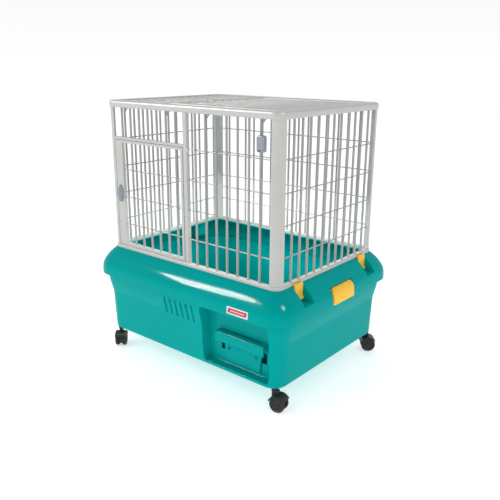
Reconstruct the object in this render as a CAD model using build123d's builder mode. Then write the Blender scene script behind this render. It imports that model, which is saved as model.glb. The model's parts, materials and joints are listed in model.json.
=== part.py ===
from build123d import *
import os
from math import cos, hypot, radians, sin

# Small-animal cage on a moulded base, in millimetres.
# The origin is on the floor under the centre, +X to the right along the front, +Z up.
# Heights below are measured from a level datum_height above the floor; finish() lifts each sub-part by it.

# ---- driving dimensions ----
cage_width = 520
cage_depth = 390
cage_corner = 20
datum_height = 9
roof_top = 626
base_bottom = 44
lip_bottom = 198
shoulder_top = 264
wall = 3

half_width = cage_width / 2
half_depth = cage_depth / 2

# base tub: (outset from the cage outline, height)
tub_profile = [(14, base_bottom), (18.5, 142), (25, 171), (28, 195)]
tub_flange_out = 33

# rim collar, from its top edge down over the shoulder to the lip
shoulder = [(2, 264), (9, 258.5), (20, 249.5), (31, 237), (38, 226), (41, 216), (42, lip_bottom)]
collar_inside = [(38.8, lip_bottom), (37.8, 216), (34.6, 226), (27.6, 237), (16.2, 249.5), (-1, 261)]
collar_opening = -10

# drawer in the front wall
drawer_centre = 164
recess_x = (63, 251)
recess_bottom = 54
recess_top = 190
recess_back = -187
drawer_width = 98
drawer_bottom = 66
drawer_back = -34
face_levels = (61, 135)
face_widths = (98, 114)
housing_width = 146
housing_bottom = 58
housing_top = 142
housing_back = -22
grip_width = 140
grip_bottom = 112
grip_front = -206
vent_pitch = 18
vent_count = 6
vent_left = -53

# latches and clips on the two long sides of the rim
latch_places = (-131, 131)
notch_width = 34
notch_floor = 226
latch_width = 29
latch_pivot = (9, 233)
catch_levels = (264.4, 268.8)
clip_place = 3
clip_width = 86
clip_recess = 92
clip_pivot = (31.1, 231.6)
clip_swing = 5.4
pin_radius = 1.5
pin_bore = 1.55

# cage body
frame_out = 2
frame_in = -10
base_frame_height = 8
post_leg = 22
roof_height = 16
roof_inside = -22
bar_width = 4
bar_depth = 5
bar_pitch = 30
side_pitch = 29
wire_radius = 1.4
wire_levels = (329, 397, 464, 532)
bars_bottom = shoulder_top + base_frame_height
bars_top = roof_top - roof_height
middle_post = (-5, 6)
header_levels = (536, 542)

# door
door_bottom = bars_bottom + 1.2
door_top = 534.5
door_left = -236.5
door_stile = 24.5
door_hinge = (-11, -190.5)
door_hinge_stile = 7
door_pin_radius = 1.6
latch_height = 404

# roof hatch
crossbar = (-89, -77)
hatch_hinge = (-80, 621)
hatch_left = -73
hatch_right = 236
hatch_front = -165
hatch_back = 171
hatch_rail = 12
hatch_tabs = (-144, 11, 166)
roof_bars = [3 + side_pitch * step for step in range(-5, 6)]
roof_bar_levels = (619.8, 624.5)
roof_wire_level = 618.8

# casters
caster_x = 257
caster_y = 192
wheel_radius = 18
wheel_level = wheel_radius - datum_height
wheel_width = 9
caster_trail = 10
caster_axle = 2
caster_headings = {"front_left": -51, "front_right": 9, "back_right": 39, "back_left": 118}


def finish(piece, name):
    """Lift one finished sub-part by the datum's height, label it and write its STEP."""
    lifted = Location((0, 0, datum_height)) * piece.part
    lifted.label = name
    export_step(lifted, f"parts/{name}.step")


def block(x, y, z, mode=Mode.ADD):
    """A box between (low, high) pairs on each axis."""
    middle = [(low + high) / 2 for low, high in (x, y, z)]
    with Locations(tuple(middle)):
        Box(x[1] - x[0], y[1] - y[0], z[1] - z[0], mode=mode)


def outline(outset, mode=Mode.ADD):
    """The cage's rounded outline, moved out by outset, or in where it is negative."""
    corner = max(cage_corner + outset, 1)
    RectangleRounded(cage_width + 2 * outset, cage_depth + 2 * outset, corner, mode=mode)


def ring(outset, inset, low, high):
    """A rounded ring of the cage outline between two heights."""
    with BuildSketch(Plane.XY.offset(low)) as profile:
        outline(outset)
        outline(inset, Mode.SUBTRACT)
    extrude(profile.sketch, amount=high - low)


def stacked(profile, mode=Mode.ADD):
    """A straight-sided loft through (outset, height) levels."""
    levels = []
    for outset, height in profile:
        with BuildSketch(Plane.XY.offset(height)) as level:
            outline(outset)
        levels.append(level.sketch)
    loft(levels, ruled=True, mode=mode)


def moved_in(points, distance):
    """The polyline of (outset, height) points, moved inwards. Its last point keeps its height."""
    result = []
    for place, point in enumerate(points):
        before = points[max(place - 1, 0)]
        after = points[min(place + 1, len(points) - 1)]
        run_x = after[0] - before[0]
        run_z = after[1] - before[1]
        length = hypot(run_x, run_z)
        height = point[1] if place == len(points) - 1 else point[1] - distance * run_x / length
        result.append((point[0] + distance * run_z / length, height))
    return result


def side_profile(points, centre, width, side, mode=Mode.ADD):
    """A closed (outset, height) section run along Y on the left (-1) or right (1) side."""
    places = [(side * (half_width + out), height) for out, height in points]
    with BuildSketch(Plane.XZ.offset(-(centre - width / 2))) as section:
        with BuildLine():
            Polyline(*places, close=True)
        make_face()
    extrude(section.sketch, amount=-width, mode=mode)


def side_rod(pivot, centre, length, radius, side, mode=Mode.ADD):
    """A round rod along Y at an (outset, height) pivot."""
    with BuildSketch(Plane.XZ.offset(-(centre - length / 2))) as section:
        with Locations((side * (half_width + pivot[0]), pivot[1])):
            Circle(radius)
    extrude(section.sketch, amount=-length, mode=mode)


def upright(x, y, radius, low, high, mode=Mode.ADD):
    """A round rod along Z."""
    with BuildSketch(Plane.XY.offset(low)) as section:
        with Locations((x, y)):
            Circle(radius)
    extrude(section.sketch, amount=high - low, mode=mode)


os.makedirs("parts", exist_ok=True)

# ---- base tub ----
inner_tub = [(out - wall, height) for out, height in tub_profile]
inner_tub[0] = (inner_tub[0][0], base_bottom + wall)
inner_tub[-1] = (inner_tub[-1][0], 199)

with BuildPart() as tub_cavity:
    stacked(inner_tub)
    block((recess_x[0] - wall, recess_x[1] + wall), (-260, recess_back + wall), (0, 230), Mode.SUBTRACT)

with BuildPart() as base_tub:
    stacked(tub_profile)
    ring(tub_flange_out, tub_profile[-1][0] - wall, 195, lip_bottom)
    add(tub_cavity.part, mode=Mode.SUBTRACT)
    block(recess_x, (-260, recess_back), (recess_bottom, recess_top), Mode.SUBTRACT)
    # drawer opening, with a finger gap at each side under the grip
    opening = (drawer_centre - drawer_width / 2 - 2, drawer_centre + drawer_width / 2 + 2)
    gap = (drawer_centre - drawer_width / 2 - 17, drawer_centre + drawer_width / 2 + 17)
    block(opening, (-200, recess_back + 2 * wall), (64, 135.6), Mode.SUBTRACT)
    block(gap, (-200, recess_back + 2 * wall), (86, 112), Mode.SUBTRACT)
    for number in range(vent_count):
        with BuildSketch(Plane.XZ.offset(170)):
            with Locations((vent_left + number * vent_pitch, 162)):
                SlotOverall(44, 7, rotation=90)
        extrude(amount=80, mode=Mode.SUBTRACT)
    for x in (-caster_x, caster_x):
        for y in (-caster_y, caster_y):
            upright(x, y, 3.05, base_bottom - 1, base_bottom + wall + 4, Mode.SUBTRACT)
finish(base_tub, "base_tub")

# ---- rim collar, with latch notches and clip recesses in its two sides ----
block_line = [(24.5, 244.4), (31, 237), (38, 226), (41, 216), (42, lip_bottom)]
clip_block = block_line + moved_in(block_line, 10)[::-1]
clip_line = [(33.5, 233.1)] + block_line[2:]
clip_cut = moved_in(clip_line, -3) + moved_in(clip_line, 5)[::-1]
notch_block = [(-1, 262)] + shoulder[:-1] + [(-1, 216)]
notch_wall = 4.5

with BuildPart() as rim_collar:
    stacked([(out, height) for out, height in reversed(shoulder)])
    stacked(collar_inside, Mode.SUBTRACT)
    ring(38.8, 25, lip_bottom, lip_bottom + wall)
    with BuildSketch(Plane.XY.offset(250)):
        outline(collar_opening)
    extrude(amount=20, mode=Mode.SUBTRACT)
    for side in (-1, 1):
        for place in latch_places:
            side_profile(notch_block, place, notch_width + 2 * wall, side)
            cut_x = sorted((side * (half_width + notch_wall), side * (half_width + 60)))
            cut_y = (place - notch_width / 2, place + notch_width / 2)
            block(cut_x, cut_y, (notch_floor, 280), Mode.SUBTRACT)
            side_rod(latch_pivot, place, notch_width + 2 * wall - 1, pin_bore, side, Mode.SUBTRACT)
        side_profile(clip_block, clip_place, clip_recess + 2 * wall, side)
        side_profile(clip_cut, clip_place, clip_recess, side, Mode.SUBTRACT)
        side_rod(clip_pivot, clip_place, clip_recess, clip_swing, side, Mode.SUBTRACT)
        side_rod(clip_pivot, clip_place, clip_recess + 2 * wall - 1, pin_bore, side, Mode.SUBTRACT)
finish(rim_collar, "rim_collar")

# ---- small latch levers whose teeth sit in the base frame and hold it down, and their pins ----
latch_plate = [(5, 233), (13, 233), (9.5, 239), (9.5, 266), (8, 267.6), (-0.6, 267.6), (-0.6, 265), (5, 265)]


def latch_lever(side, place):
    with BuildPart() as lever:
        side_profile(latch_plate, place, latch_width, side)
        side_rod(latch_pivot, place, latch_width, 4, side)
        side_rod(latch_pivot, place, latch_width + 2, pin_bore, side, Mode.SUBTRACT)
    return lever


for side, side_name in ((-1, "left"), (1, "right")):
    for place, end_name in zip(latch_places, ("front", "back")):
        finish(latch_lever(side, place), f"latch_{end_name}_{side_name}")

with BuildPart() as latch_pins:
    for side in (-1, 1):
        for place in latch_places:
            side_rod(latch_pivot, place, notch_width + 2 * wall - 1.4, pin_radius, side)
finish(latch_pins, "latch_pins")

# ---- large side clips that clamp the collar to the tub, and their pins ----
clip_section = moved_in(clip_line, -1.6) + moved_in(clip_line, 4.3)[::-1]


def side_clip(side):
    with BuildPart() as clip:
        side_profile(clip_section, clip_place, clip_width, side)
        side_rod(clip_pivot, clip_place, clip_width, 3.8, side)
        block((-400, 400), (-100, 120), (lip_bottom - 12, lip_bottom + 1), Mode.SUBTRACT)
        side_rod(clip_pivot, clip_place, clip_width + 2, pin_bore, side, Mode.SUBTRACT)
    return clip


for side, side_name in ((-1, "left"), (1, "right")):
    finish(side_clip(side), f"side_clip_{side_name}")

with BuildPart() as side_clip_pins:
    for side in (-1, 1):
        side_rod(clip_pivot, clip_place, clip_recess + 2 * wall - 1.4, pin_radius, side)
finish(side_clip_pins, "side_clip_pins")

# ---- plain sticker on the front lip ----
label_lean = 5.4
with BuildPart() as front_label:
    sticker_plane = Plane(
        origin=(187, -(half_depth + 41.37), 212.5),
        x_dir=(1, 0, 0),
        z_dir=(0, -cos(radians(label_lean)), sin(radians(label_lean))),
    )
    with BuildSketch(sticker_plane):
        RectangleRounded(58, 16, 1.5)
    extrude(amount=0.6)
finish(front_label, "front_label")

# ---- drawer and its housing ----
with BuildPart() as drawer_housing:
    housing_x = (drawer_centre - housing_width / 2, drawer_centre + housing_width / 2)
    block(housing_x, (recess_back + wall, housing_back), (housing_bottom, housing_top))
    inside_x = (housing_x[0] + wall, housing_x[1] - wall)
    block(inside_x, (-220, housing_back - wall), (housing_bottom + wall, housing_top - wall), Mode.SUBTRACT)
    for side in (-1, 1):
        rib = sorted(drawer_centre + side * off for off in (drawer_width / 2 - 0.4, drawer_width / 2 + 2))
        block(rib, (recess_back + wall, housing_back - 1), (housing_bottom, 76))
finish(drawer_housing, "drawer_housing")

with BuildPart() as drawer:
    body_x = (drawer_centre - drawer_width / 2 + 1, drawer_centre + drawer_width / 2 - 1)
    grip_x = (drawer_centre - grip_width / 2, drawer_centre + grip_width / 2)
    block(body_x, (-188, drawer_back), (drawer_bottom, 126))
    block((body_x[0] + 2.5, body_x[1] - 2.5), (-186, drawer_back - 2.5), (drawer_bottom + 2.5, 140), Mode.SUBTRACT)
    block(body_x, (-188, -184), (drawer_bottom, face_levels[1] - 0.5))
    with BuildSketch(Plane.XZ.offset(191)) as face:
        corners = []
        for side, end in ((-1, 0), (1, 0), (1, 1), (-1, 1)):
            corners.append((drawer_centre + side * face_widths[end] / 2, face_levels[end]))
        with BuildLine():
            Polyline(*corners, close=True)
        make_face()
    extrude(face.sketch, amount=-3.6)
    block(grip_x, (grip_front, recess_back - 0.4), (face_levels[1] - wall, face_levels[1]))
    block(grip_x, (grip_front, grip_front + wall), (grip_bottom, face_levels[1]))
    grip_edges = drawer.edges().filter_by(Axis.X).filter_by_position(Axis.Y, grip_front - 1, grip_front + 0.1)
    fillet(grip_edges.group_by(Axis.Z)[-1], 2.5)
    for x in (drawer_centre - 39, drawer_centre + 39):
        with BuildSketch(Plane.XZ.offset(191)):
            with Locations((x, 96)):
                Circle(3.2)
        extrude(amount=-1.4, mode=Mode.SUBTRACT)
finish(drawer, "drawer")

# ---- cage body: base frame, corner posts, middle post, header ----
with BuildPart() as base_frame:
    ring(frame_out, frame_in, shoulder_top, bars_bottom)
    upright(*door_hinge, door_pin_radius + 0.05, 267, bars_bottom + 1, Mode.SUBTRACT)
    for side in (-1, 1):
        catch_x = sorted((side * (half_width - 1.2), side * (half_width + 5)))
        for place in latch_places:
            catch_y = (place - latch_width / 2 - 0.8, place + latch_width / 2 + 0.8)
            block(catch_x, catch_y, catch_levels, Mode.SUBTRACT)
finish(base_frame, "base_frame")


def corner_post(side_x, side_y):
    with BuildPart() as post:
        ring(0, -wall, bars_bottom, bars_top)
        reach_x = sorted((side_x * (half_width - post_leg), side_x * (half_width + 5)))
        reach_y = sorted((side_y * (half_depth - post_leg), side_y * (half_depth + 5)))
        block(reach_x, reach_y, (bars_bottom, bars_top), Mode.INTERSECT)
    return post


for side_y, end_name in ((-1, "front"), (1, "back")):
    for side_x, side_name in ((-1, "left"), (1, "right")):
        finish(corner_post(side_x, side_y), f"post_{end_name}_{side_name}")

with BuildPart() as post_middle:
    block(middle_post, (-half_depth, -half_depth + 10), (bars_bottom, bars_top))
    block((middle_post[1], middle_post[1] + 5), (-half_depth, -half_depth + 3.4), (528, 533))
finish(post_middle, "post_middle")

with BuildPart() as door_header:
    block((-half_width + post_leg, middle_post[0]), (-half_depth, -half_depth + 8), header_levels)
    upright(*door_hinge, door_pin_radius + 0.05, header_levels[0] - 1, 540.2, Mode.SUBTRACT)
finish(door_header, "door_header")


# ---- barred panels ----
def front_bars(places, low, high, front):
    """Upright bars in a plane that faces -Y, with their front faces at y = front."""
    for x in places:
        block((x - bar_width / 2, x + bar_width / 2), (front, front + bar_depth), (low, high))


def cross_wires(levels, left, right, y):
    """Thin rods along X."""
    for level in levels:
        with BuildSketch(Plane.YZ.offset(left)) as section:
            with Locations((y, level)):
                Circle(wire_radius)
        extrude(section.sketch, amount=right - left)


front_plane = -half_depth + 1
wire_plane = front_plane + bar_depth - 1
inner_post = half_width - post_leg

with BuildPart() as front_bars_right:
    front_bars([bar_pitch * step for step in range(1, 8)], bars_bottom, bars_top, front_plane)
    cross_wires(wire_levels, middle_post[1], inner_post, wire_plane)
finish(front_bars_right, "front_bars_right")

with BuildPart() as front_bars_upper:
    front_bars([-bar_pitch * step for step in range(1, 8)], header_levels[1], bars_top, front_plane)
finish(front_bars_upper, "front_bars_upper")

with BuildPart() as back_bars:
    places = [bar_pitch * step for step in range(-7, 8)]
    front_bars(places, bars_bottom, bars_top, half_depth - 1 - bar_depth)
    cross_wires(wire_levels, -inner_post, inner_post, half_depth - bar_depth)
finish(back_bars, "back_bars")


def side_bars(side):
    """One side panel: upright bars with wires along Y behind them."""
    with BuildPart() as panel:
        x = sorted((side * (half_width - 1), side * (half_width - 1 - bar_depth)))
        for step in range(-5, 6):
            middle = side_pitch * step
            block(x, (middle - bar_width / 2, middle + bar_width / 2), (bars_bottom, bars_top))
        for level in wire_levels:
            side_rod((-bar_depth, level), 0, 2 * (half_depth - post_leg), wire_radius, side)
    return panel


finish(side_bars(-1), "side_bars_left")
finish(side_bars(1), "side_bars_right")

# ---- door ----
door_right = door_hinge[0] + door_hinge_stile / 2
door_plane = (-half_depth + 0.6, -half_depth + 8.4)
stile_inner = door_left + door_stile
hinge_stile_inner = door_right - door_hinge_stile

with BuildPart() as door_frame:
    block((door_left, stile_inner), door_plane, (door_bottom, door_top))
    block((hinge_stile_inner, door_right), door_plane, (door_bottom, door_top))
    block((door_left, door_right), door_plane, (door_bottom, door_bottom + 7))
    block((door_left, door_right), door_plane, (door_top - 6, door_top))
    block((-234.5, -215.5), (-200, -180), (latch_height - 7, latch_height + 7), Mode.SUBTRACT)
    upright(*door_hinge, door_pin_radius + 0.06, door_bottom - 1, door_bottom + 6.5, Mode.SUBTRACT)
    upright(*door_hinge, door_pin_radius + 0.06, door_top - 5.5, door_top + 1, Mode.SUBTRACT)
finish(door_frame, "door_frame")

with BuildPart() as door_bars:
    front_bars([-bar_pitch * step for step in range(1, 7)], door_bottom + 7, door_top - 6, front_plane)
    cross_wires(wire_levels[:3], stile_inner, hinge_stile_inner, wire_plane)
finish(door_bars, "door_bars")

with BuildPart() as door_hinge_pins:
    upright(*door_hinge, door_pin_radius, 267.2, door_bottom + 6)
    upright(*door_hinge, door_pin_radius, door_top - 5, 540)
finish(door_hinge_pins, "door_hinge_pins")

with BuildPart() as door_latch:
    with BuildSketch(Plane.XZ.offset(half_depth + 0.2)):
        with Locations((-225, latch_height)):
            Ellipse(10.5, 21)
    extrude(amount=8)
    fillet(door_latch.faces().sort_by(Axis.Y)[0].edges(), 5)
    # finger hollow on the side away from the post
    with Locations((-213.5, -half_depth - 6, latch_height)):
        Sphere(7, mode=Mode.SUBTRACT)
    block((-228, -218), (-half_depth - 1, -186), (latch_height - 6.4, latch_height + 6.4))
    block((-237, -214.5), (-186.2, -184), (latch_height - 6, latch_height + 6))
finish(door_latch, "door_latch")

# ---- clip for a bottle, pushed on a front bar ----
with BuildPart() as bottle_clip:
    with BuildSketch(Plane.XZ.offset(half_depth + 7)):
        with Locations((215, 562)):
            RectangleRounded(18, 33, 5)
    extrude(amount=-11)
    fillet(bottle_clip.faces().sort_by(Axis.Y)[0].edges(), 2.5)
    block((210, 220), (-half_depth - 8, -half_depth - 1.5), (539, 551), Mode.SUBTRACT)
    block((207.9, 212.1), (-half_depth + 1, -half_depth + 9), (540, 590), Mode.SUBTRACT)
finish(bottle_clip, "bottle_clip")

# ---- roof: frame with a finger groove, fixed bars, hooks ----
with BuildPart() as roof_frame:
    ring(frame_out, roof_inside, bars_top, roof_top)
    outer_edges = roof_frame.faces().sort_by(Axis.Z)[-1].outer_wire().edges()
    fillet(outer_edges, 6)
    lower_edges = roof_frame.faces().sort_by(Axis.Z)[0].outer_wire().edges()
    fillet(lower_edges, 3)
    block((crossbar[1], 236), (-187, -150), (613, 640), Mode.SUBTRACT)
    block((crossbar[1], 239), (-174, -158), (bars_top, 613))
    block((229, 239), (-160, 174), (bars_top, 613))
    block(crossbar, (-174, 174), (bars_top, 616.4))
    for tab in hatch_tabs:
        for end in (-1, 1):
            ear = sorted((tab + end * 7.4, tab + end * 12.4))
            with BuildSketch(Plane.XZ.offset(-ear[0])):
                with Locations(hatch_hinge):
                    Circle(4)
                with Locations((hatch_hinge[0], 617)):
                    Rectangle(8, 5)
            extrude(amount=-(ear[1] - ear[0]))
        with BuildSketch(Plane.XZ.offset(-(tab - 14))):
            with Locations(hatch_hinge):
                Circle(pin_bore)
        extrude(amount=-28, mode=Mode.SUBTRACT)
finish(roof_frame, "roof_frame")


def roof_bar_set(left, right):
    """Roof bars along X."""
    for y in roof_bars:
        block((left, right), (y - bar_width / 2, y + bar_width / 2), roof_bar_levels)


with BuildPart() as roof_bars_left:
    roof_bar_set(-inner_post, crossbar[0])
    for x in (-190, -138):
        with BuildSketch(Plane.XZ.offset(half_depth - post_leg)):
            with Locations((x, roof_wire_level)):
                Circle(wire_radius)
        extrude(amount=-2 * (half_depth - post_leg))
finish(roof_bars_left, "roof_bars_left")

with BuildPart() as roof_hooks:
    for x in (-195, -53, 67, 217):
        with BuildSketch(Plane.XZ.offset(half_depth - 3)):
            with BuildLine():
                Polyline((x - 4.5, bars_top), (x + 4.5, bars_top), (x - 4.5, bars_top - 10), close=True)
            make_face()
        extrude(amount=-4)
finish(roof_hooks, "roof_hooks")

# ---- roof hatch ----
with BuildPart() as hatch_frame:
    block((hatch_left, hatch_right), (hatch_front, hatch_back), (616, roof_top))
    hatch_inner_x = (hatch_left + hatch_rail, hatch_right - hatch_rail)
    hatch_inner_y = (hatch_front + hatch_rail, hatch_back - hatch_rail)
    block(hatch_inner_x, hatch_inner_y, (600, 640), Mode.SUBTRACT)
finish(hatch_frame, "hatch_frame")

with BuildPart() as hatch_bars:
    roof_bar_set(*hatch_inner_x)
    for x in (0, 65, 130, 195):
        with BuildSketch(Plane.XZ.offset(-hatch_inner_y[0])):
            with Locations((x, roof_wire_level)):
                Circle(wire_radius)
        extrude(amount=-(hatch_inner_y[1] - hatch_inner_y[0]))
finish(hatch_bars, "hatch_bars")

with BuildPart() as hatch_hinge_tabs:
    for tab in hatch_tabs:
        with BuildSketch(Plane.XZ.offset(-(tab - 7))):
            with Locations(hatch_hinge):
                Circle(4)
            with Locations((-76.5, 622)):
                Rectangle(7, 5)
            with Locations(hatch_hinge):
                Circle(pin_bore, mode=Mode.SUBTRACT)
        extrude(amount=-14)
finish(hatch_hinge_tabs, "hatch_hinge_tabs")

with BuildPart() as hatch_pins:
    for tab in hatch_tabs:
        with BuildSketch(Plane.XZ.offset(-(tab - 12.4))):
            with Locations(hatch_hinge):
                Circle(pin_radius)
        extrude(amount=-24.8)
finish(hatch_pins, "hatch_pins")


# ---- casters: mounting stem, swivel body, axle and two wheels each ----
def caster_stem(x, y):
    with BuildPart() as stem:
        upright(x, y, 8, base_bottom - 2.6, base_bottom)
        upright(x, y, 3, base_bottom, base_bottom + wall + 3)
        upright(x, y, 2.4, 22, base_bottom - 2.6)
    return stem


def caster_plane(x, y, heading, sideways):
    """A plane whose X runs along the caster's trail and whose normal is its axle."""
    trail = (cos(radians(heading)), sin(radians(heading)), 0)
    across = (sin(radians(heading)), -cos(radians(heading)), 0)
    origin = (x + across[0] * sideways, y + across[1] * sideways, 0)
    return Plane(origin=origin, x_dir=trail, z_dir=across)


def caster_body(x, y, heading):
    with BuildPart() as body:
        with BuildSketch(caster_plane(x, y, heading, -4)):
            with Locations((caster_trail, wheel_level)):
                Circle(14)
            with Locations((2, 28)):
                Rectangle(16, 24)
        extrude(amount=8)
        with BuildSketch(caster_plane(x, y, heading, -13.6)):
            with Locations((caster_trail, wheel_level)):
                Circle(21.2)
                Circle(19, mode=Mode.SUBTRACT)
            with BuildSketch(caster_plane(x, y, heading, -13.6), mode=Mode.INTERSECT):
                with BuildLine():
                    Polyline((caster_trail, wheel_level), (-40, 22), (-40, 80), (60, 80), (60, 37), close=True)
                make_face()
        extrude(amount=27.2)
        upright(x, y, 8, 36.2, 41)
        upright(x, y, 2.46, 21, 42, Mode.SUBTRACT)
        with BuildSketch(caster_plane(x, y, heading, -20)):
            with Locations((caster_trail, wheel_level)):
                Circle(caster_axle + 0.01)
        extrude(amount=40, mode=Mode.SUBTRACT)
    return body


def caster_rod(x, y, heading, start, length, radius):
    with BuildPart() as rod:
        with BuildSketch(caster_plane(x, y, heading, start)):
            with Locations((caster_trail, wheel_level)):
                Circle(radius)
        extrude(amount=length)
    return rod


def caster_wheel(x, y, heading, start):
    with BuildPart() as wheel:
        with BuildSketch(caster_plane(x, y, heading, start)):
            with Locations((caster_trail, wheel_level)):
                Circle(wheel_radius)
        extrude(amount=wheel_width)
        fillet(wheel.edges().filter_by(GeomType.CIRCLE), 1.6)
        with BuildSketch(caster_plane(x, y, heading, start - 1)):
            with Locations((caster_trail, wheel_level)):
                Circle(caster_axle + 0.05)
        extrude(amount=wheel_width + 2, mode=Mode.SUBTRACT)
    return wheel


for corner, heading in caster_headings.items():
    corner_x = caster_x if corner.endswith("right") else -caster_x
    corner_y = caster_y if corner.startswith("back") else -caster_y
    finish(caster_stem(corner_x, corner_y), f"caster_stem_{corner}")
    finish(caster_body(corner_x, corner_y, heading), f"caster_body_{corner}")
    finish(caster_rod(corner_x, corner_y, heading, -13, 26, caster_axle), f"caster_axle_{corner}")
    finish(caster_wheel(corner_x, corner_y, heading, -4.4 - wheel_width), f"wheel_a_{corner}")
    finish(caster_wheel(corner_x, corner_y, heading, 4.4), f"wheel_b_{corner}")
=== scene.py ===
import json
from math import cos, hypot, pi, radians, sin, sqrt

import bmesh
import bpy
from mathutils import Matrix, Vector


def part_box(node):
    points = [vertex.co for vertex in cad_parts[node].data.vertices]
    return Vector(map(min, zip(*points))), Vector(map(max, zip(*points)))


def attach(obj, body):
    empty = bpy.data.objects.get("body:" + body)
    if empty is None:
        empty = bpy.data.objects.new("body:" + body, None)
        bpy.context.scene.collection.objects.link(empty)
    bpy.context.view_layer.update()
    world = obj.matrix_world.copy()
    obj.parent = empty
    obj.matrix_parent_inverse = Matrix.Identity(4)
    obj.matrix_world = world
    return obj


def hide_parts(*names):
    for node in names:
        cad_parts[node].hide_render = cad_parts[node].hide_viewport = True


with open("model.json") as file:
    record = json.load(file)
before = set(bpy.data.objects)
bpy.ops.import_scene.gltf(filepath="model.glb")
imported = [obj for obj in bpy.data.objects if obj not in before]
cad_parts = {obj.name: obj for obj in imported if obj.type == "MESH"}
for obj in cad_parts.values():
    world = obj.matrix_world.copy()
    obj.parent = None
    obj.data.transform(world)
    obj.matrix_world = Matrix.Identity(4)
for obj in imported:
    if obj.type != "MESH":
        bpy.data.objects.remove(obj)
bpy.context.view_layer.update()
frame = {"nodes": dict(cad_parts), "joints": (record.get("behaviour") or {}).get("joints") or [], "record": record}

mm = 0.001


# places, all read from the frame, in metres
baseLow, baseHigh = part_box("base_frame")
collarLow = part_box("rim_collar")[0]
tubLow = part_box("base_tub")[0]
roofLow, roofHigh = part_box("roof_frame")

cage = {
    "centreX": 0.0,
    "centreY": 0.0,
    "halfX": (baseHigh.x - baseLow.x) / 2 - 2 * mm,
    "halfY": (baseHigh.y - baseLow.y) / 2 - 2 * mm,
    "corner": 20 * mm,
}
barsLow = baseHigh.z
barsHigh = roofLow.z
frontY = -cage["halfY"]


# mesh tools
def meshObject(name, verts, faces):
    mesh = bpy.data.meshes.new(name)
    mesh.from_pydata([tuple(v) for v in verts], [], faces)
    mesh.update()
    piece = bpy.data.objects.new(name, mesh)
    bpy.context.scene.collection.objects.link(piece)
    work = bmesh.new()
    work.from_mesh(mesh)
    bmesh.ops.recalc_face_normals(work, faces=work.faces)
    work.to_mesh(mesh)
    work.free()
    return piece


def smooth(piece, angle=35):
    # smooth shading; edges over this angle stay sharp
    piece.data.shade_smooth()
    piece.data.set_sharp_from_angle(angle=radians(angle))


def bevel(piece, width, segments=3, angle=30):
    # rounded edges between flat faces
    edges = piece.modifiers.new("roundedEdges", "BEVEL")
    edges.width = width
    edges.segments = segments
    edges.limit_method = "ANGLE"
    edges.angle_limit = radians(angle)
    faces = piece.modifiers.new("flatFaces", "WEIGHTED_NORMAL")
    faces.keep_sharp = True
    piece.data.shade_smooth()


def softenNode(name, width, segments=3):
    # rounds the edges of a CAD node that stays, through modifiers only
    node = frame["nodes"][name]
    weld = node.modifiers.new("weld", "WELD")
    weld.merge_threshold = 0.01 * mm
    bevel(node, width, segments)


def applyAll(piece):
    # turns the modifiers into mesh
    graph = bpy.context.evaluated_depsgraph_get()
    done = bpy.data.meshes.new_from_object(piece.evaluated_get(graph))
    piece.modifiers.clear()
    piece.data = done


def cut(piece, cutter):
    modifier = piece.modifiers.new("cut", "BOOLEAN")
    modifier.operation = "DIFFERENCE"
    modifier.solver = "EXACT"
    modifier.object = cutter
    applyAll(piece)
    bpy.data.objects.remove(cutter)


def joined(name, parts):
    # one object from several, each with its modifiers applied
    work = bmesh.new()
    graph = bpy.context.evaluated_depsgraph_get()
    for part in parts:
        done = bpy.data.meshes.new_from_object(part.evaluated_get(graph))
        work.from_mesh(done)
        bpy.data.meshes.remove(done)
    mesh = bpy.data.meshes.new(name)
    work.to_mesh(mesh)
    work.free()
    for part in parts:
        bpy.data.objects.remove(part)
    piece = bpy.data.objects.new(name, mesh)
    bpy.context.scene.collection.objects.link(piece)
    return piece


def roundedBox(name, x, y, z, radius=1 * mm, segments=3):
    # a box between (low, high) pairs, with rounded edges
    verts = [(a, b, c) for a in x for b in y for c in z]
    faces = [(0, 1, 3, 2), (4, 6, 7, 5), (0, 4, 5, 1), (2, 3, 7, 6), (0, 2, 6, 4), (1, 5, 7, 3)]
    piece = meshObject(name, verts, faces)
    bevel(piece, radius, segments)
    return piece


def gridFaces(rows, columns, closeRows=False, closeColumns=False):
    # quads between points that are stored row by row
    faces = []
    for r in range(rows if closeRows else rows - 1):
        below = ((r + 1) % rows) * columns
        for c in range(columns if closeColumns else columns - 1):
            d = (c + 1) % columns
            faces.append((r * columns + c, r * columns + d, below + d, below + c))
    return faces


def lofted(name, loops):
    # closed loops of equal length joined in turn, with flat ends
    count = len(loops[0])
    verts = [point for loop in loops for point in loop]
    faces = gridFaces(len(loops), count, False, True)
    faces.append(tuple(range(count)))
    faces.append(tuple(range(len(verts) - count, len(verts))))
    return meshObject(name, verts, faces)


def runAlongY(name, loop, low, high):
    # a solid with one (x, z) outline along Y
    return lofted(name, [[(a, y, b) for a, b in loop] for y in (low, high)])


# outlines
def filletPath(points, radii, steps=4, close=False):
    # a line of points with each corner rounded by its own radius
    result = []
    last = len(points) - 1
    for k, (point, radius) in enumerate(zip(points, radii)):
        if not radius or (not close and k in (0, last)):
            result.append(point)
            continue
        here = Vector(point)
        toBefore = Vector(points[k - 1]) - here
        toAfter = Vector(points[(k + 1) % len(points)]) - here
        half = toBefore.angle(toAfter) / 2
        reach = radius / max(sin(half), 1e-6) * cos(half)
        start = here + toBefore.normalized() * reach
        end = here + toAfter.normalized() * reach
        middle = (toBefore.normalized() + toAfter.normalized()).normalized()
        centre = here + middle * (radius / sin(half))
        first = start - centre
        sweep = first.angle_signed(end - centre)
        for s in range(steps + 1):
            turn = -sweep * s / steps
            x = first.x * cos(turn) - first.y * sin(turn)
            y = first.x * sin(turn) + first.y * cos(turn)
            result.append((centre.x + x, centre.y + y))
    return result


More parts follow.
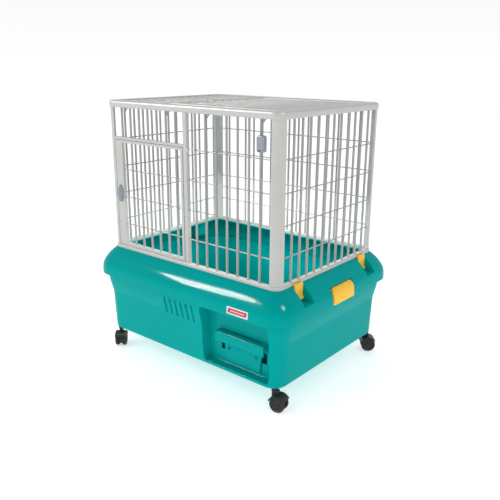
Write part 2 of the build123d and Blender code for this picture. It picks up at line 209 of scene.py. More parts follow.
def throughPoints(points, steps=8):
    # a smooth curve through the points
    result = []
    for k in range(len(points) - 1):
        p0 = Vector(points[max(k - 1, 0)])
        p1, p2 = Vector(points[k]), Vector(points[k + 1])
        p3 = Vector(points[min(k + 2, len(points) - 1)])
        for s in range(steps):
            t = s / steps
            bend = 2 * p0 - 5 * p1 + 4 * p2 - p3
            tail = 3 * p1 - p0 - 3 * p2 + p3
            result.append(tuple(0.5 * (2 * p1 + (p2 - p0) * t + bend * t ** 2 + tail * t ** 3)))
    result.append(tuple(points[-1]))
    return result


def padded(points, count):
    # more points on the longest stretches, until there are count
    points = [tuple(p) for p in points]
    while len(points) < count:
        spans = [hypot(b[0] - a[0], b[1] - a[1]) for a, b in zip(points, points[1:])]
        k = spans.index(max(spans))
        middle = tuple((a + b) / 2 for a, b in zip(points[k], points[k + 1]))
        points.insert(k + 1, middle)
    return points


def blended(first, second, share):
    return [tuple(a + (b - a) * share for a, b in zip(p, q)) for p, q in zip(first, second)]


def scaled(points, lift=0.0):
    # millimetre points into metres, raised by lift
    return [(a * mm, b * mm + lift) for a, b in points]


def roundedInset(run, radius):
    # how far a rounded corner sets an edge back, at a run from the edge's end
    if run >= radius:
        return 0.0
    return radius * (1 - sqrt(1 - (1 - run / radius) ** 2))


def middleAndHalf(span):
    return sum(span) / 2, (span[1] - span[0]) / 2


def outlineColumns(shape, sideStops=(), frontStops=(), cornerStops=(), cornerSteps=10):
    # columns round a rounded rectangle: (side, sign x, sign y, place along it or angle)
    alongX = 0.9 * (shape["halfX"] - shape["corner"])
    alongY = 0.9 * (shape["halfY"] - shape["corner"])
    sides = sorted({-alongY, 0.0, alongY, *sideStops})
    fronts = sorted({-alongX, 0.0, alongX, *frontStops})
    angles = [90 * k / cornerSteps for k in range(cornerSteps + 1)]
    columns = [("right", 1, 0, y) for y in sides]
    columns += [("corner", 1, 1, a) for a in angles]
    columns += [("back", 0, 1, x) for x in (alongX, 0.0, -alongX)]
    columns += [("corner", -1, 1, 90 + a) for a in angles]
    columns += [("left", -1, 0, y) for y in reversed(sides)]
    columns += [("corner", -1, -1, 180 + a) for a in angles]
    columns += [("front", 0, -1, x) for x in fronts]
    columns += [("corner", 1, -1, 270 + a) for a in sorted({*angles, *cornerStops})]
    return columns


def columnPoint(shape, column, outset):
    # where a column meets the outline moved out by outset
    side, signX, signY, value = column
    if side in ("right", "left"):
        return (shape["centreX"] + signX * (shape["halfX"] + outset), shape["centreY"] + value)
    if side in ("front", "back"):
        return (shape["centreX"] + value, shape["centreY"] + signY * (shape["halfY"] + outset))
    radius = max(shape["corner"] + outset, 1 * mm)
    x = signX * (shape["halfX"] + outset - radius) + radius * cos(radians(value))
    y = signY * (shape["halfY"] + outset - radius) + radius * sin(radians(value))
    return (shape["centreX"] + x, shape["centreY"] + y)


def sweptRing(name, shape, columns, pathAt, closed=True):
    # an (outset, height) path carried round an outline; an open path gets flat caps
    verts = []
    for column in columns:
        path = pathAt(column)
        for outset, height in path:
            x, y = columnPoint(shape, column, outset)
            verts.append((x, y, height))
    rows, count = len(columns), len(path)
    faces = gridFaces(rows, count, True, closed)
    if not closed:
        faces.append(tuple(r * count for r in range(rows)))
        faces.append(tuple(r * count + count - 1 for r in range(rows)))
    return meshObject(name, verts, faces)


def brimStops(centre, half, brim, steps=6):
    # stops across both edges of a notch, so that its edges come out rounded
    return [centre + side * (half + brim * (k / steps - 0.5)) for side in (-1, 1) for k in range(steps + 1)]


def insideShare(value, centre, half, brim):
    # 1 inside a notch and 0 outside, smooth over its brim
    share = min(max(0.5 - (abs(value - centre) - half) / brim, 0.0), 1.0)
    return share * share * (3 - 2 * share)


# shared effects, as node groups
def newGroup(name, inputs, outputs):
    group = bpy.data.node_groups.new(name, "ShaderNodeTree")
    for label, value in inputs.items():
        socket = group.interface.new_socket(label, in_out="INPUT", socket_type="NodeSocketFloat")
        socket.default_value = value
    for label in outputs:
        group.interface.new_socket(label, in_out="OUTPUT", socket_type="NodeSocketFloat")
    start = group.nodes.new("NodeGroupInput")
    end = group.nodes.new("NodeGroupOutput")
    return group, start, end


def addNode(tree, kind, values=None, **settings):
    # a node; each input takes a value or another node's output
    node = tree.nodes.new(kind)
    for key, value in settings.items():
        setattr(node, key, value)
    for label, value in (values or {}).items():
        if isinstance(value, bpy.types.NodeSocket):
            tree.links.new(value, node.inputs[label])
        else:
            node.inputs[label].default_value = value
    return node


def mathNode(tree, operation, *values, clamp=False):
    node = addNode(tree, "ShaderNodeMath", dict(enumerate(values)), operation=operation, use_clamp=clamp)
    return node.outputs["Value"]


def noiseNode(tree, vector, scale, detail, roughness, distortion=0.0):
    return addNode(tree, "ShaderNodeTexNoise", {
        "Vector": vector, "Scale": scale, "Detail": detail, "Roughness": roughness,
        "Distortion": distortion}).outputs["Fac"]


def rangeNode(tree, value, fromMin=0.0, fromMax=1.0, toMin=0.0, toMax=1.0):
    return addNode(tree, "ShaderNodeMapRange", {
        "Value": value, "From Min": fromMin, "From Max": fromMax, "To Min": toMin,
        "To Max": toMax}).outputs["Result"]


def makeMouldGrain():
    # fine texture and slow tone shift of moulded plastic
    group, start, end = newGroup(
        "mouldGrain", {"Grain Scale": 900.0, "Flow Scale": 6.0, "Flow Share": 0.3}, ["Height", "Tone"])
    coords = addNode(group, "ShaderNodeTexCoord").outputs["Object"]
    fine = noiseNode(group, coords, start.outputs["Grain Scale"], 3.0, 0.6)
    flow = noiseNode(group, coords, start.outputs["Flow Scale"], 4.0, 0.55, 1.2)
    mix = addNode(group, "ShaderNodeMix", {
        "Factor": start.outputs["Flow Share"], "A": fine, "B": flow}, data_type="FLOAT")
    group.links.new(mix.outputs["Result"], end.inputs["Height"])
    group.links.new(flow, end.inputs["Tone"])
    return group


def makeDustLayer():
    # dust on faces that look up, broken into soft patches
    group, start, end = newGroup("dustLayer", {"Amount": 0.3, "Patch Scale": 14.0}, ["Mask"])
    normal = addNode(group, "ShaderNodeNewGeometry").outputs["Normal"]
    upward = addNode(group, "ShaderNodeSeparateXYZ", {"Vector": normal}).outputs["Z"]
    lift = rangeNode(group, upward, 0.25, 1.0)
    coords = addNode(group, "ShaderNodeTexCoord").outputs["Object"]
    patches = noiseNode(group, coords, start.outputs["Patch Scale"], 6.0, 0.7)
    both = mathNode(group, "MULTIPLY", lift, rangeNode(group, patches, 0.35, 0.75))
    amount = mathNode(group, "MULTIPLY", both, start.outputs["Amount"], clamp=True)
    group.links.new(amount, end.inputs["Mask"])
    return group


def makeHairScratches():
    # fine handling scratches in two directions
    group, start, end = newGroup("hairScratches", {"Density": 0.5, "Length Scale": 30.0}, ["Mask"])
    coords = addNode(group, "ShaderNodeTexCoord").outputs["Object"]
    directions = []
    for turn, stretch in ((0.5, (1.0, 22.0, 22.0)), (2.1, (20.0, 1.0, 24.0))):
        mapping = addNode(group, "ShaderNodeMapping", {
            "Vector": coords, "Rotation": (turn, 0.3 * turn, turn), "Scale": stretch})
        streaks = noiseNode(group, mapping.outputs["Vector"], start.outputs["Length Scale"], 2.0, 0.5)
        directions.append(rangeNode(group, streaks, 0.66, 0.72))
    either = mathNode(group, "MAXIMUM", *directions)
    amount = mathNode(group, "MULTIPLY", either, start.outputs["Density"], clamp=True)
    group.links.new(amount, end.inputs["Mask"])
    return group


effects = {"grain": makeMouldGrain(), "dust": makeDustLayer(), "scratch": makeHairScratches()}
print("stage: effect groups ready")


# materials
def useEffect(tree, effect, values):
    return addNode(tree, "ShaderNodeGroup", values, node_tree=effects[effect])


def mixColour(tree, factor, first, second):
    # mixes two colours, each a socket or three numbers
    mix = addNode(tree, "ShaderNodeMix", {"Factor": factor}, data_type="RGBA")
    for label, colour in (("A", first), ("B", second)):
        socket = next(s for s in mix.inputs if s.name == label and s.type == "RGBA")
        if isinstance(colour, tuple):
            socket.default_value = (*colour, 1.0)
        else:
            tree.links.new(colour, socket)
    return next(s for s in mix.outputs if s.type == "RGBA")


def plasticLook(name, look):
    # moulded plastic, painted or bare metal: tone shift, grain, scratches and dust over one colour
    material = bpy.data.materials.new(name)
    material.use_nodes = True
    tree = material.node_tree
    shader = tree.nodes["Principled BSDF"]
    grain = useEffect(tree, "grain", {
        "Grain Scale": look["grainScale"], "Flow Scale": look["flowScale"], "Flow Share": look["flowShare"]})
    dust = useEffect(tree, "dust", {"Amount": look["dust"], "Patch Scale": look["dustScale"]}).outputs["Mask"]
    scratch = useEffect(tree, "scratch", {
        "Density": look["scratch"], "Length Scale": look["scratchScale"]}).outputs["Mask"]
    tone = mixColour(tree, grain.outputs["Tone"], look["deep"], look["light"])
    scuffed = mixColour(tree, scratch, tone, look["scuff"])
    rough = rangeNode(tree, grain.outputs["Tone"], toMin=look["roughLow"], toMax=look["roughHigh"])
    scratched = mathNode(tree, "MULTIPLY_ADD", scratch, look["scratchDulling"], rough)
    dulled = mathNode(tree, "MULTIPLY_ADD", dust, look["dustDulling"], scratched, clamp=True)
    bump = addNode(tree, "ShaderNodeBump", {
        "Height": grain.outputs["Height"], "Strength": look["bump"], "Distance": look["bumpDepth"]})
    tree.links.new(mixColour(tree, dust, scuffed, look["dustColour"]), shader.inputs["Base Color"])
    tree.links.new(dulled, shader.inputs["Roughness"])
    tree.links.new(bump.outputs["Normal"], shader.inputs["Normal"])
    shader.inputs["Metallic"].default_value = look["metallic"]
    shader.inputs["Specular IOR Level"].default_value = look["specular"]
    return material


plain = {
    "grainScale": 1500.0, "flowScale": 9.0, "flowShare": 0.3, "dust": 0.05, "dustScale": 14.0,
    "dustColour": (0.5, 0.49, 0.45), "scratch": 0.06, "scratchScale": 30.0, "roughLow": 0.26,
    "roughHigh": 0.38, "bump": 0.08, "bumpDepth": 0.2 * mm, "metallic": 0.0,
    "specular": 0.35, "scratchDulling": 0.2, "dustDulling": 0.45,
}
finishes = {
    "teal_plastic": {
        "deep": (0.0, 0.325, 0.31), "light": (0.0, 0.385, 0.37), "scuff": (0.01, 0.41, 0.39),
        "flowScale": 5.0, "dust": 0.0, "roughLow": 0.06, "roughHigh": 0.1, "bump": 0.03, "specular": 0.03},
    "grey_plastic": {
        "deep": (0.49, 0.495, 0.475), "light": (0.57, 0.575, 0.555), "scuff": (0.66, 0.66, 0.64),
        "dust": 0.08, "roughLow": 0.32, "roughHigh": 0.46, "bump": 0.1},
    "grey_wire": {
        "deep": (0.34, 0.345, 0.33), "light": (0.42, 0.425, 0.41), "scuff": (0.52, 0.52, 0.50),
        "grainScale": 1100.0, "flowScale": 12.0, "dust": 0.08, "roughLow": 0.28, "roughHigh": 0.42,
        "bump": 0.14},
    "yellow_plastic": {
        "deep": (0.97, 0.53, 0.035), "light": (1.0, 0.61, 0.055), "scuff": (1.0, 0.74, 0.3),
        "flowScale": 18.0, "specular": 0.2},
    "blue_grey_plastic": {
        "deep": (0.26, 0.29, 0.33), "light": (0.34, 0.37, 0.41), "scuff": (0.5, 0.54, 0.58),
        "flowScale": 25.0, "roughLow": 0.2, "roughHigh": 0.32},
    "black_plastic": {
        "deep": (0.010, 0.011, 0.013), "light": (0.020, 0.021, 0.025), "scuff": (0.06, 0.06, 0.065),
        "grainScale": 900.0, "flowScale": 30.0, "dust": 0.08, "dustColour": (0.12, 0.115, 0.11),
        "scratch": 0.15, "roughLow": 0.3, "roughHigh": 0.46, "bump": 0.2, "specular": 0.3},
    "pin_steel": {
        "deep": (0.50, 0.50, 0.51), "light": (0.64, 0.64, 0.65), "scuff": (0.8, 0.8, 0.8),
        "grainScale": 2500.0, "flowScale": 40.0, "dust": 0.03, "scratch": 0.3, "roughLow": 0.22,
        "metallic": 1.0},
    "sticker": {
        "deep": (0.80, 0.80, 0.80), "light": (0.86, 0.86, 0.86), "scuff": (0.7, 0.7, 0.7),
        "flowScale": 40.0},
    "stickerRed": {
        "deep": (0.56, 0.035, 0.05), "light": (0.66, 0.06, 0.07), "scuff": (0.8, 0.4, 0.4),
        "flowScale": 40.0},
    "tread": {
        "deep": (0.014, 0.014, 0.016), "light": (0.026, 0.026, 0.029), "scuff": (0.09, 0.09, 0.09),
        "grainScale": 700.0, "flowScale": 60.0, "dust": 0.15, "dustScale": 60.0,
        "dustColour": (0.15, 0.14, 0.13), "scratch": 0.25, "roughLow": 0.45, "roughHigh": 0.65,
        "bump": 0.3, "specular": 0.25},
}
materials = {name: plasticLook(name, {**plain, **finish}) for name, finish in finishes.items()}
print("stage: materials ready")

slotOf = {part["node"]: part["material_slot"] for part in frame["record"]["subparts"]}
for nodeName, node in frame["nodes"].items():
    node.data.materials.clear()
    node.data.materials.append(materials[slotOf[nodeName]])


def standFor(piece, body, *nodes, look=None):
    # the piece takes over from CAD nodes: their slot, their look and their body
    slot = slotOf[nodes[0]]
    piece.data.materials.clear()
    piece.data.materials.append(materials[look or slot])
    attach(piece, body)
    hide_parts(*nodes)
    return piece


# rim collar
rim = {
    "lip": collarLow.z,
    "shoulder": [(2, 66), (9, 60.5), (20, 51.5), (31, 39), (38, 28), (41, 18), (42, 1.5)],
    "lipEdge": [(41.6, 0.4), (40.5, 0)],
    "inside": [(38.4, 3), (37.6, 18), (34.6, 28), (27.6, 39), (16.2, 51.5), (-1, 63)],
    "opening": -10,
    "flangeInside": 25,
    "thickness": 3,
    "latchPlaces": (-131 * mm, 131 * mm),
    "notchHalf": 17 * mm,
    "notchWall": 4.5,
    "notchFloor": 28,
    "clipPlace": 3 * mm,
    "clipHalf": 46 * mm,
    "clipPivot": (31.1, 33.6),
    "clipSwing": 5.4,
    "clipFloor": [(33.4, 26), (36.05, 17.3), (37, 0)],
    "blockInside": [(31.2, 3), (31.1, 16.6), (28.6, 24.5), (23.2, 33), (17.5, 40.5), (13, 50), (-1, 63)],
    "brim": 2.4 * mm,
    "outerPoints": 60,
    "innerPoints": 40,
}


def rimPaths():
    # the outer and inner paths of the plain rim, of a latch notch and of a clip recess
    curve = throughPoints(rim["shoulder"], 7)
    tail = [p for p in curve if p[1] <= rim["notchFloor"]] + rim["lipEdge"]
    upper = [p for p in curve if p[1] > rim["notchFloor"]]
    wall, floor = rim["notchWall"], rim["notchFloor"]
    notch = filletPath([curve[0], (wall, 63), (wall, floor), tail[0]], [0, 0.8, 2.5, 0])[:-1]
    split = rim["outerPoints"] - len(tail)
    pivot, swing = rim["clipPivot"], rim["clipSwing"]
    arc = []
    for k in range(11):
        angle = radians(97 + (278 - 97) * k / 10)
        arc.append((pivot[0] + swing * cos(angle), pivot[1] + swing * sin(angle)))
    above = [p for p in curve if p[1] > arc[0][1] + 0.4]
    recess = above + arc + rim["clipFloor"]
    outer = {
        "plain": padded(upper, split) + tail,
        "notch": padded(notch, split) + tail,
        "clip": padded(recess, rim["outerPoints"]),
    }
    under = rim["notchFloor"] - rim["thickness"]
    notchInside = filletPath([rim["inside"][0], (36, under), (-1, under), (-1, 63)], [0, 1.5, 2, 0])
    inner = {
        "plain": padded(throughPoints(rim["inside"], 5), rim["innerPoints"]),
        "notch": padded(notchInside, rim["innerPoints"]),
        "clip": padded(rim["blockInside"], rim["innerPoints"]),
    }
    return outer, inner


def makeRimCollar():
    outer, inner = rimPaths()
    places = [(place, rim["notchHalf"], "notch") for place in rim["latchPlaces"]]
    places.append((rim["clipPlace"], rim["clipHalf"], "clip"))
    wallWidth = rim["thickness"] * mm

    def pathAt(column):
        shell, lining = outer["plain"], inner["plain"]
        if column[0] in ("left", "right"):
            for place, half, kind in places:
                shell = blended(shell, outer[kind], insideShare(column[3], place, half, rim["brim"]))
                share = insideShare(column[3], place, half + wallWidth, rim["brim"])
                lining = blended(lining, inner[kind], share)
        flange = [(rim["flangeInside"], 0), (rim["flangeInside"], rim["thickness"])]
        top = [(rim["opening"], 63), (rim["opening"], 66)]
        return scaled(shell + flange + lining + top, rim["lip"])

    stops = []
    for place, half, kind in places:
        stops += brimStops(place, half, rim["brim"])
        stops += brimStops(place, half + wallWidth, rim["brim"])
        stops += [place + half * k / 4 for k in range(-3, 4)]
    columns = outlineColumns(cage, sideStops=stops, cornerSteps=20)
    piece = sweptRing("rimCollar", cage, columns, pathAt)
    smooth(piece, 42)
    return standFor(piece, "cage", "rim_collar")


makeRimCollar()
print("stage: rim collar")


# base tub
tub = {
    "floor": tubLow.z,
    "side": [(28, 148), (27, 138), (25, 127), (21.3, 112), (18.5, 98), (16.6, 60), (14.5, 8)],
    "inside": [(25, 150), (24.2, 138), (22, 127), (18.3, 112), (15.5, 98), (13.6, 60), (11.3, 9)],
    "flange": [(30, 154), (33, 153), (33, 151), (28.2, 151)],
    "footOutset": 14.2,
    "liningFootOutset": 11,
    "footRadii": [0, 6, 0],
    "capInset": -20,
    "recessX": (63 * mm, 251 * mm),
    "recessDepth": -8,
    "recessHeights": (10, 146),
    "recessOutsets": (14.7, 27.6),
    "recessRadii": [0, 2, 5, 5, 1.6, 0],
    "recessLiningRadii": [0, 4, 0],
    "cornerOutset": 20 * mm,
    "frontStops": [-200, -160, -120, -80, -40, 0],
    "cornerStops": list(range(6, 30)),
    "stopGap": 2 * mm,
    "brim": 6 * mm,
    "pathPoints": 76,
    "thickness": 3,
    "drawerOutline": [
        (113, 64), (215, 64), (215, 86), (230, 86), (230, 112), (215, 112),
        (215, 135.6), (113, 135.6), (113, 112), (98, 112), (98, 86), (113, 86)],
    "outlineLift": 9 * mm,
    "drawerCut": (-4 * mm, 20 * mm),
    "ventCut": (-60 * mm, -5 * mm),
    "ventFirst": -53,
    "ventPitch": 18,
    "ventCount": 6,
    "ventLevel": 162,
    "ventSize": (7, 44),
}


def wallCutter(name, loop, low, high):
    lifted = [(a * mm, b * mm + tub["outlineLift"]) for a, b in loop]
    return runAlongY(name, lifted, low, high)


def ventLoop(x):
    width, height = tub["ventSize"]
    radius = width / 2
    loop = []
    for end, start in ((1, 0), (-1, 180)):
        centre = tub["ventLevel"] + end * (height / 2 - radius)
        for k in range(9):
            angle = radians(start + 180 * k / 8)
            loop.append((x + radius * cos(angle), centre + radius * sin(angle)))
    return loop


def makeBaseTub():
    cap, thick, depth = tub["capInset"], tub["thickness"], tub["recessDepth"]
    curve = throughPoints(tub["side"], 8)
    foot = filletPath([curve[-1], (tub["footOutset"], 0), (cap, 0)], tub["footRadii"], 6)
    low, high = tub["recessHeights"]
    lowOutset, highOutset = tub["recessOutsets"]
    recess = filletPath(
        [curve[0], (highOutset, high), (depth, high), (depth, low), (lowOutset, low), curve[-1]],
        tub["recessRadii"], 6)
    side = {"plain": padded(curve, tub["pathPoints"]), "recess": padded(recess, tub["pathPoints"])}
    top, first, last = tub["flange"][0][1], tub["inside"][0], tub["inside"][-1]
    liningFoot = filletPath([last, (tub["liningFootOutset"], thick), (cap + 1, thick)], tub["footRadii"], 6)
    plainLining = [(first[0], top)] + throughPoints(tub["inside"], 6) + liningFoot[1:]
    back = depth - thick
    recessLining = filletPath([(back, top), (back, thick), (cap + 1, thick)], tub["recessLiningRadii"], 6)
    lining = {"plain": plainLining, "recess": padded(recessLining, len(plainLining))}
    middle, half = middleAndHalf(tub["recessX"])

    def pathAt(column):
        shell, inside = side["plain"], lining["plain"]
        if column[1] >= 0 and column[2] < 0:
            x = column[3]
            if column[0] == "corner":
                reach = (cage["corner"] + tub["cornerOutset"]) * cos(radians(column[3]))
                x = cage["halfX"] - cage["corner"] + reach
            shell = blended(shell, side["recess"], insideShare(x, middle, half, tub["brim"]))
            inside = blended(inside, lining["recess"], insideShare(x, middle, half + thick * mm, tub["brim"]))
        outside = tub["flange"] + shell + foot[1:]
        return scaled(list(reversed(outside)) + inside, tub["floor"])

    stops = brimStops(middle, half, tub["brim"], 10) + brimStops(middle, half + thick * mm, tub["brim"], 10)
    stops += [middle + half * k / 5 for k in range(-4, 5)]
    stops += [place * mm for place in tub["frontStops"]]
    stops = [x for x in stops if x < cage["halfX"] - cage["corner"] - tub["stopGap"]]
    columns = outlineColumns(cage, frontStops=stops, cornerStops=tub["cornerStops"], cornerSteps=20)
    piece = sweptRing("baseTub", cage, columns, pathAt, closed=False)
    opening = filletPath(tub["drawerOutline"], [3] * 12, 3, close=True)
    cutters = [wallCutter("drawerCutter", opening, *(frontY + y for y in tub["drawerCut"]))]
    for number in range(tub["ventCount"]):
        loop = ventLoop(tub["ventFirst"] + number * tub["ventPitch"])
        cutters.append(wallCutter("ventCutter", loop, *(frontY + y for y in tub["ventCut"])))
    cut(piece, joined("tubCutters", cutters))
    smooth(piece, 38)
    return standFor(piece, "cage", "base_tub")


makeBaseTub()
print("stage: base tub")


# barred panels
bars = {
    "size": (4 * mm, 5 * mm),
    "roofSize": (4 * mm, 4.7 * mm),
    "edge": 1.1 * mm,
    "wireRadius": 1.4 * mm,
    "frontPitch": 30 * mm,
    "sidePitch": 29 * mm,
    "wireLevels": (338 * mm, 406 * mm, 473 * mm, 541 * mm),
    "roofWires": (-190 * mm, -138 * mm),
    "hatchWires": (0, 65 * mm, 130 * mm, 195 * mm),
    "postLeg": 22 * mm,
    "setIn": 1 * mm,
}


def roundedSection(halfA, halfB, radius, steps=3):
    corners = [(halfA, halfB), (-halfA, halfB), (-halfA, -halfB), (halfA, -halfB)]
    return filletPath(corners, [radius] * 4, steps, close=True)


def circleSection(radius, steps=12):
    return [(radius * cos(2 * pi * k / steps), radius * sin(2 * pi * k / steps)) for k in range(steps)]


def prism(section, low, high, place):
    return lofted("prism", [[place(a, b, along) for a, b in section] for along in (low, high)])


def uprightBar(x, y, low, high, acrossX=True):
    width, depth = bars["size"]
    half = (width / 2, depth / 2) if acrossX else (depth / 2, width / 2)
    section = roundedSection(*half, bars["edge"])
    return prism(section, low, high, lambda a, b, z: (x + a, y + b, z))


def wireAlongX(y, z, low, high):
    return prism(circleSection(bars["wireRadius"]), low, high, lambda a, b, x: (x, y + a, z + b))


def wireAlongY(x, z, low, high):
    return prism(circleSection(bars["wireRadius"]), low, high, lambda a, b, y: (x + a, y, z + b))


def roofBar(y, low, high, z):
    width, height = bars["roofSize"]
    section = roundedSection(width / 2, height / 2, bars["edge"])
    return prism(section, low, high, lambda a, b, x: (x, y + a, z + b))


def finishBars(name, parts, body, node):
    piece = joined(name, parts)
    smooth(piece, 40)
    return standFor(piece, body, node)


innerPost = cage["halfX"] - bars["postLeg"]
frontBarY = frontY + bars["setIn"] + bars["size"][1] / 2
wireY = frontY + bars["setIn"] + bars["size"][1] - 1 * mm
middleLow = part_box("post_middle")[0]
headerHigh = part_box("door_header")[1]
doorBarsLow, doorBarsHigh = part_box("door_bars")
middleRight = middleLow.x + 11 * mm

parts = [uprightBar(bars["frontPitch"] * k, frontBarY, barsLow, barsHigh) for k in range(1, 8)]
parts += [wireAlongX(wireY, z, middleRight, innerPost) for z in bars["wireLevels"]]
finishBars("frontBarsRight", parts, "cage", "front_bars_right")

parts = [uprightBar(-bars["frontPitch"] * k, frontBarY, headerHigh.z, barsHigh) for k in range(1, 8)]
finishBars("frontBarsUpper", parts, "cage", "front_bars_upper")

parts = [uprightBar(bars["frontPitch"] * k, -frontBarY, barsLow, barsHigh) for k in range(-7, 8)]
parts += [wireAlongX(-wireY, z, -innerPost, innerPost) for z in bars["wireLevels"]]
finishBars("backBars", parts, "cage", "back_bars")

for side, sideName in ((-1, "left"), (1, "right")):
    barX = side * (cage["halfX"] - bars["setIn"] - bars["size"][1] / 2)
    reach = cage["halfY"] - bars["postLeg"]
    parts = [uprightBar(barX, bars["sidePitch"] * k, barsLow, barsHigh, False) for k in range(-5, 6)]
    wireX = side * (cage["halfX"] - bars["size"][1])
    parts += [wireAlongY(wireX, z, -reach, reach) for z in bars["wireLevels"]]
    finishBars("sideBars" + sideName.capitalize(), parts, "cage", "side_bars_" + sideName)

parts = [uprightBar(-bars["frontPitch"] * k, frontBarY, doorBarsLow.z, doorBarsHigh.z) for k in range(1, 7)]
parts += [wireAlongX(wireY, z, doorBarsLow.x, doorBarsHigh.x) for z in bars["wireLevels"][:3]]
finishBars("doorBars", parts, "door", "door_bars")

hatchBarsLow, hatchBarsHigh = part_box("hatch_bars")
roofBarZ = hatchBarsHigh.z - bars["roofSize"][1] / 2
roofWireZ = hatchBarsLow.z + bars["wireRadius"]
roofPlaces = [3 * mm + bars["sidePitch"] * k for k in range(-5, 6)]
roofLeftLow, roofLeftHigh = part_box("roof_bars_left")
parts = [roofBar(y, roofLeftLow.x, roofLeftHigh.x, roofBarZ) for y in roofPlaces]
parts += [wireAlongY(x, roofWireZ, roofLeftLow.y, roofLeftHigh.y) for x in bars["roofWires"]]
finishBars("roofBarsLeft", parts, "cage", "roof_bars_left")

parts = [roofBar(y, hatchBarsLow.x, hatchBarsHigh.x, roofBarZ) for y in roofPlaces]
parts += [wireAlongY(x, roofWireZ, hatchBarsLow.y, hatchBarsHigh.y) for x in bars["hatchWires"]]
finishBars("hatchBars", parts, "hatch", "hatch_bars")
print("stage: bars")


# corner posts
post = {"wall": 3 * mm, "cornerSteps": 14}


def makePost(sideX, sideY, name):
    # an angle with a round outer corner and rounded ends
    radius, wall = cage["corner"], post["wall"]
    centreX, centreY = cage["halfX"] - radius, cage["halfY"] - radius
    leg = bars["postLeg"]
    outer = [(cage["halfX"] - leg, cage["halfY"])]
    inner = [(cage["halfX"] - leg, cage["halfY"] - wall)]
    for k in range(post["cornerSteps"] + 1):
        angle = radians(90 - 90 * k / post["cornerSteps"])
        outer.append((centreX + radius * cos(angle), centreY + radius * sin(angle)))
        inner.append((centreX + (radius - wall) * cos(angle), centreY + (radius - wall) * sin(angle)))
    outer.append((cage["halfX"], cage["halfY"] - leg))
    inner.append((cage["halfX"] - wall, cage["halfY"] - leg))
    loop = outer + inner[::-1]
    last = len(loop) - 1
    ends = (0, len(outer) - 1, len(outer), last)
    loop = filletPath(loop, [1.2 * mm if k in ends else 0 for k in range(last + 1)], 4, close=True)
    piece = prism(loop, barsLow, barsHigh, lambda a, b, z: (sideX * a, sideY * b, z))
    smooth(piece, 30)
    piece.name = name
    return piece


for sideY, endName in ((-1, "front"), (1, "back")):
    for sideX, sideName in ((-1, "left"), (1, "right")):
        piece = makePost(sideX, sideY, "post" + endName.capitalize() + sideName.capitalize())
        standFor(piece, "cage", "post_" + endName + "_" + sideName)


# base frame and roof frame
frames = {
    "outset": 2,
    "baseInset": -10,
    "baseHeight": 8,
    "roofInset": -22,
    "roofHeight": 16,
    "roofFlat": -4.5,
    "grooveX": (-77 * mm, 236 * mm),
    "grooveY": (-8, 3),
    "grooveBrim": 2 * mm,
    "crossbarX": (-89 * mm, -77 * mm),
    "lipHeight": 3 * mm,
    "lips": (((-77 * mm, 239 * mm), (-174 * mm, -158 * mm)), ((229 * mm, 239 * mm), (-160 * mm, 174 * mm))),
    "crossbarHalf": 174 * mm,
    "crossbarHeight": 6.4 * mm,
    "catchInset": 1.2 * mm,
    "catchHalf": 15.3 * mm,
    "catchRise": (0.4 * mm, 4.8 * mm),
}


def makeBaseFrame():
    out, inset, height = frames["outset"], frames["baseInset"], frames["baseHeight"]
    corners = [(out, 0), (out, height), (inset, height), (inset, 0)]
    path = scaled(filletPath(corners, [0.6, 2.6, 2, 0.6], 5, close=True), baseLow.z)
    columns = outlineColumns(cage, cornerSteps=16)
    piece = sweptRing("baseFrame", cage, columns, lambda column: path)
    slots = []
    low, high = (baseLow.z + rise for rise in frames["catchRise"])
    for side in (-1, 1):
        x = sorted(side * (cage["halfX"] + reach) for reach in (-frames["catchInset"], 6 * mm))
        for place in rim["latchPlaces"]:
            y = (place - frames["catchHalf"], place + frames["catchHalf"])
            slots.append(roundedBox("catchSlot", x, y, (low, high), 0.4 * mm, 2))
    cut(piece, joined("catchSlots", slots))
    smooth(piece, 40)
    return standFor(piece, "cage", "base_frame")


def makeRoofFrame():
    out, inset, height = frames["outset"], frames["roofInset"], frames["roofHeight"]
    flat = frames["roofFlat"]
    foot = filletPath([(inset, 0), (out, 0), (out, height), (flat, height)], [0, 3, 6, 0], 6)
    grooveStart, grooveFloor = frames["grooveY"]
    plainTop = padded([(flat, height), (inset, height)], 16)
    grooved = filletPath(
        [(flat, height), (grooveStart, height), (grooveStart, grooveFloor), (inset, grooveFloor)],
        [0, 1.2, 0.8, 0], 5)
    groovedTop = padded(grooved, 16)
    middle, half = middleAndHalf(frames["grooveX"])

    def pathAt(column):
        top = plainTop
        if column[0] == "front":
            top = blended(plainTop, groovedTop, insideShare(column[3], middle, half, frames["grooveBrim"]))
        return scaled(foot[:-1] + top, roofLow.z)

    stops = brimStops(middle, half, frames["grooveBrim"])
    columns = outlineColumns(cage, frontStops=stops, cornerSteps=16)
    ring = sweptRing("roofRing", cage, columns, pathAt)
    low = roofLow.z
    parts = [ring]
    for x, y in frames["lips"]:
        parts.append(roundedBox("hatchLip", x, y, (low, low + frames["lipHeight"]), 0.8 * mm))
    y = (-frames["crossbarHalf"], frames["crossbarHalf"])
    z = (low, low + frames["crossbarHeight"])
    parts.append(roundedBox("crossbar", frames["crossbarX"], y, z, 1.4 * mm))
    piece = joined("roofFrame", parts + hingeEars())
    smooth(piece, 40)
    return standFor(piece, "cage", "roof_frame")


# roof hatch
hatch = {
    "rail": 12,
    "corner": 4 * mm,
    "hinge": (-80 * mm, roofHigh.z - 5 * mm),
    "tabs": (-144 * mm, 11 * mm, 166 * mm),
    "earOffsets": (7.4 * mm, 12.4 * mm),
    "earRadius": 4 * mm,
}


